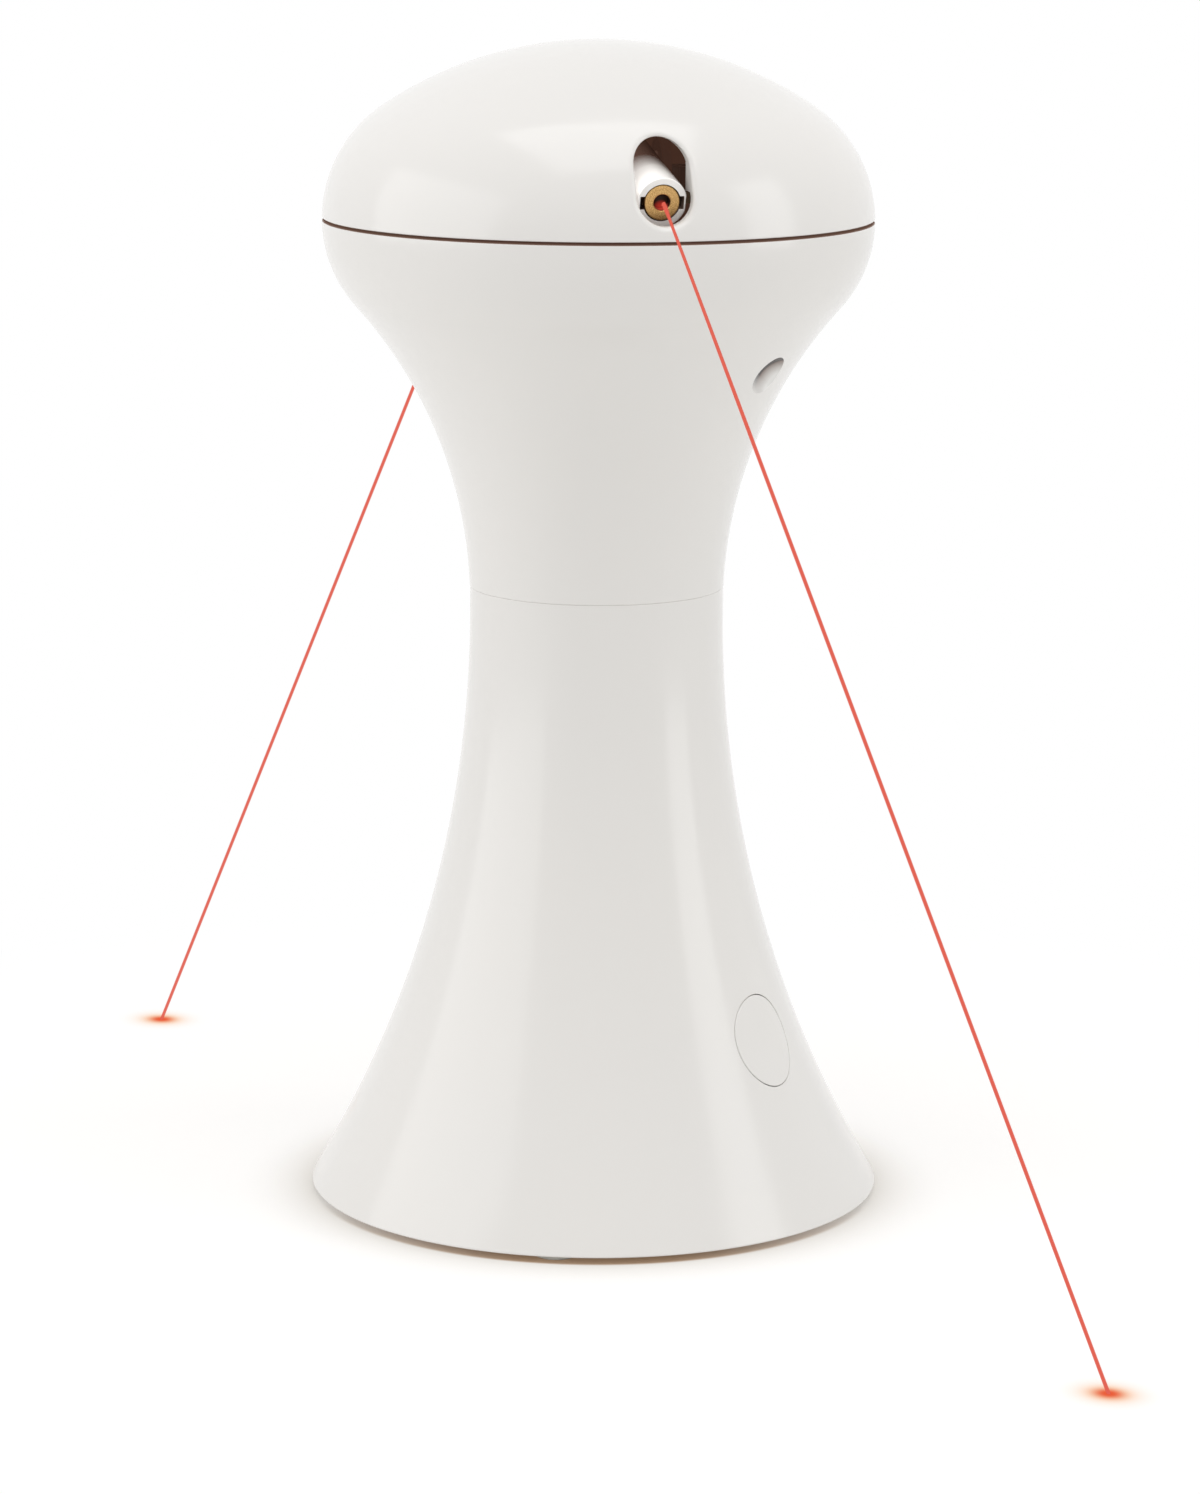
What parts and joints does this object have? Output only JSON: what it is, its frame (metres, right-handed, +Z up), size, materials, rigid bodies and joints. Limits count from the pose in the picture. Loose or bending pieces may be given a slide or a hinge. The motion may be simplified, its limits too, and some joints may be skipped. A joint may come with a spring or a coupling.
{
  "type": "cat laser toy",
  "caption": "Trumpet-shaped pedestal cat toy whose domed head spins on a geared motor and carries tilting laser tubes behind round-ended slots.",
  "frame": {"origin": "on the floor, at the centre of the round base", "axes": "+Z up along the turning axis; at rest the front laser looks along -Y"},
  "size_m": [0.106, 0.106, 0.2128],
  "materials": {
    "white_shell": "smooth glossy warm white",
    "dark_plastic": "dark brown moulded, low sheen",
    "gear_nylon": "natural moulded nylon",
    "rubber_pad": "pale soft pad",
    "screw_steel": "zinc plated",
    "bright_steel": "bright drawn",
    "motor_can": "drawn can",
    "bronze": "sintered bronze",
    "copper": "bright copper alloy",
    "cell_wrap": "plain printed-free wrap",
    "circuit_board": "green solder mask",
    "board_parts": "black moulded",
    "laser_brass": "turned brass",
    "lens_glass": "clear lens"
  },
  "bodies": {
    "base": {"base_plate": "dark_plastic", "base_screws": "screw_steel", "battery_cells": "cell_wrap", "battery_door": "dark_plastic", "battery_door_screw": "screw_steel", "board_components": "board_parts", "board_screws": "screw_steel", "brush_block": "dark_plastic", "contact_plates": "bright_steel", "contact_springs": "bright_steel", "deck_screws": "screw_steel", "drive_motor": "motor_can", "gear_pins": "bright_steel", "gear_retainers": "bright_steel", "lower_housing": "white_shell", "main_board": "circuit_board", "motor_deck": "dark_plastic", "motor_screws": "screw_steel", "rubber_feet": "rubber_pad", "slip_brushes": "copper", "spindle_bush": "bronze", "switch_board": "circuit_board", "switch_board_screws": "screw_steel", "switch_body": "dark_plastic", "upper_housing": "white_shell"},
    "button": {"power_button": "white_shell", "switch_plunger": "dark_plastic"},
    "motor_rotor": {"motor_shaft": "bright_steel", "motor_pinion": "gear_nylon"},
    "first_idler": {"first_idler_gear": "gear_nylon"},
    "second_idler": {"second_idler_gear": "gear_nylon"},
    "head": {"head_gear": "gear_nylon", "hub_screws": "screw_steel", "head_spindle": "bright_steel", "spindle_clip": "bright_steel", "thrust_washer": "gear_nylon", "slip_ring_drum": "dark_plastic", "slip_ring_tracks": "copper", "head_dome": "white_shell", "head_floor": "dark_plastic", "head_screws": "screw_steel", "head_board": "circuit_board", "head_board_components": "board_parts", "head_board_screws": "screw_steel", "front_cradle": "dark_plastic", "rear_cradle": "dark_plastic", "cradle_screws": "screw_steel"},
    "front_laser": {"front_laser_tube": "white_shell", "front_laser_module": "laser_brass", "front_laser_lens": "lens_glass", "front_laser_driver": "circuit_board"},
    "rear_laser": {"rear_laser_tube": "white_shell", "rear_laser_module": "laser_brass", "rear_laser_lens": "lens_glass", "rear_laser_driver": "circuit_board"}
  },
  "joints": [
    {"name": "head_spin", "type": "hinge", "parent": "base", "child": "head", "pos_m": [0, 0, 0], "axis": [0, 0, 1], "continuous": true},
    {"name": "second_idler_spin", "type": "hinge", "parent": "base", "child": "second_idler", "pos_m": [0, 0.0175, 0.166], "axis": [0, 0, 1], "continuous": true},
    {"name": "first_idler_spin", "type": "hinge", "parent": "base", "child": "first_idler", "pos_m": [0.01144, 0.0163, 0.162], "axis": [0, 0, 1], "continuous": true},
    {"name": "motor_spin", "type": "hinge", "parent": "base", "child": "motor_rotor", "pos_m": [0.0141, 0.00511, 0.162], "axis": [0, 0, 1], "continuous": true},
    {"name": "front_laser_tilt", "type": "hinge", "parent": "head", "child": "front_laser", "pos_m": [0, -0.022, 0.19294], "axis": [-1, 0, 0], "range_deg": [0, 13]},
    {"name": "rear_laser_tilt", "type": "hinge", "parent": "head", "child": "rear_laser", "pos_m": [0, 0.022, 0.19294], "axis": [1, 0, 0], "range_deg": [0, 13]},
    {"name": "button_press", "type": "slide", "parent": "base", "child": "button", "axis": [-0.6782, 0.7349, 0], "range_m": [0, 0.0008], "stiffness_N_per_m": 1500}
  ],
  "couplings": [
    {"joint": "second_idler_spin", "follows": "head_spin", "ratio": -6},
    {"joint": "first_idler_spin", "follows": "head_spin", "ratio": 21.6},
    {"joint": "motor_spin", "follows": "head_spin", "ratio": -77.76}
  ]
}
